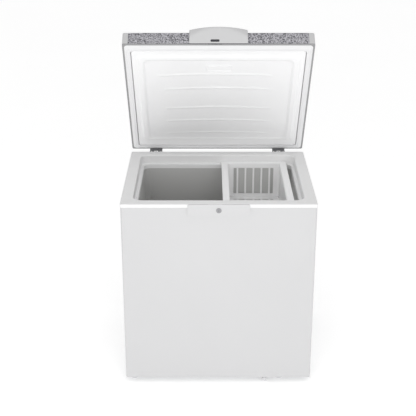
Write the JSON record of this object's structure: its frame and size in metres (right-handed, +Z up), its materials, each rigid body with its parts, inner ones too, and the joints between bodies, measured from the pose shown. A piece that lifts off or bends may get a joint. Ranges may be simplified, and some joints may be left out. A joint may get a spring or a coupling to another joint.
{
  "type": "chest freezer",
  "caption": "White chest freezer with an open hinged lid, a hanging storage basket, a key lock and a side machine room.",
  "frame": {"origin": "on the floor, in the middle of the box around the freezer with its lid open as stored", "axes": "+Z up, +Y towards the back of the freezer, +X to the right as seen from the front"},
  "size_m": [0.759, 0.7288, 1.3963],
  "materials": {
    "white_paint": "smooth white powder paint on steel sheet",
    "white_moulding": "white moulded plastic, satin gloss",
    "white_liner": "thin white thermoformed plastic",
    "basket_plastic": "white moulded plastic, slightly translucent",
    "liner_metal": "grey coated metal sheet, satin",
    "stucco_metal": "stucco-embossed grey metal sheet",
    "galvanised": "galvanised steel",
    "screw_steel": "zinc-plated screws",
    "foam": "rigid polyurethane foam, cream",
    "black_paint": "dark enamel",
    "copper_tube": "drawn copper",
    "dark_plastic": "black moulded plastic",
    "grey_plastic": "grey moulded plastic",
    "lock_metal": "die-cast zinc, satin",
    "seal_rubber": "light grey soft seal",
    "grommet_rubber": "black rubber",
    "green_lamp": "green lamp lens"
  },
  "bodies": {
    "cabinet": {"outer_wrap": "white_paint", "back_panel": "white_paint", "back_panel_screws": "screw_steel", "base_pan": "galvanised", "machine_partition": "galvanised", "inner_liner": "liner_metal", "top_collar": "white_moulding", "foam_insulation": "foam", "compressor": "black_paint", "compressor_base": "galvanised", "compressor_grommets": "grommet_rubber", "terminal_box": "dark_plastic", "discharge_tube": "copper_tube", "condenser_coil": "copper_tube", "filter_drier": "copper_tube", "evaporator_coil": "copper_tube", "capillary_tube": "copper_tube", "suction_tube": "copper_tube", "service_grille": "white_moulding", "grille_screws": "screw_steel", "indicator_lamps": "green_lamp", "thermostat": "grey_plastic", "thermostat_bulb": "copper_tube", "power_inlet": "dark_plastic", "drain_cup": "white_liner", "drain_tube": "grey_plastic", "drain_spout": "grey_plastic", "front_feet": "grey_plastic", "rear_feet": "grey_plastic", "rear_spacers": "dark_plastic", "lock_plate": "white_moulding", "lock_housing": "lock_metal", "hinge_base_left": "black_paint", "hinge_base_right": "black_paint", "hinge_pin_left": "galvanised", "hinge_pin_right": "galvanised", "hinge_spring_left": "galvanised", "hinge_spring_right": "galvanised", "hinge_base_screws": "screw_steel"},
    "lid": {"lid_skin": "stucco_metal", "lid_corner_caps": "white_moulding", "lid_frame": "white_moulding", "lid_liner": "white_liner", "lid_foam": "foam", "lid_gasket": "seal_rubber", "lid_badge_pad": "white_liner", "handle_shell": "white_moulding", "handle_screws": "screw_steel", "handle_strike": "dark_plastic", "hinge_leaf_left": "black_paint", "hinge_leaf_right": "black_paint", "hinge_leaf_screws": "screw_steel"},
    "lock": {"lock_cylinder": "lock_metal", "lock_hook": "galvanised"},
    "knob": {"thermostat_knob": "grey_plastic"},
    "basket": {"storage_basket": "basket_plastic"},
    "plug": {"drain_plug": "white_liner"},
    "cap": {"drain_cap": "grey_plastic"}
  },
  "joints": [
    {"name": "lid_hinge", "type": "hinge", "parent": "cabinet", "child": "lid", "pos_m": [0, 0.29363, 0.773], "axis": [-1, 0, 0], "range_deg": [-57, 28]},
    {"name": "lock_turn", "type": "hinge", "parent": "cabinet", "child": "lock", "pos_m": [0, -0.35637, 0.762], "axis": [0, 1, 0], "range_deg": [0, 90]},
    {"name": "knob_turn", "type": "hinge", "parent": "cabinet", "child": "knob", "pos_m": [0.3775, -0.08137, 0.171], "axis": [1, 0, 0], "range_deg": [0, 270]},
    {"name": "basket_slide", "type": "slide", "parent": "cabinet", "child": "basket", "axis": [1, 0, 0], "range_m": [-0.3266, 0.0106]},
    {"name": "plug_lift", "type": "slide", "parent": "cabinet", "child": "plug", "axis": [0, 0, 1], "range_m": [0, 0.03]},
    {"name": "cap_pull", "type": "slide", "parent": "cabinet", "child": "cap", "axis": [0, -1, 0], "range_m": [0, 0.015]}
  ]
}
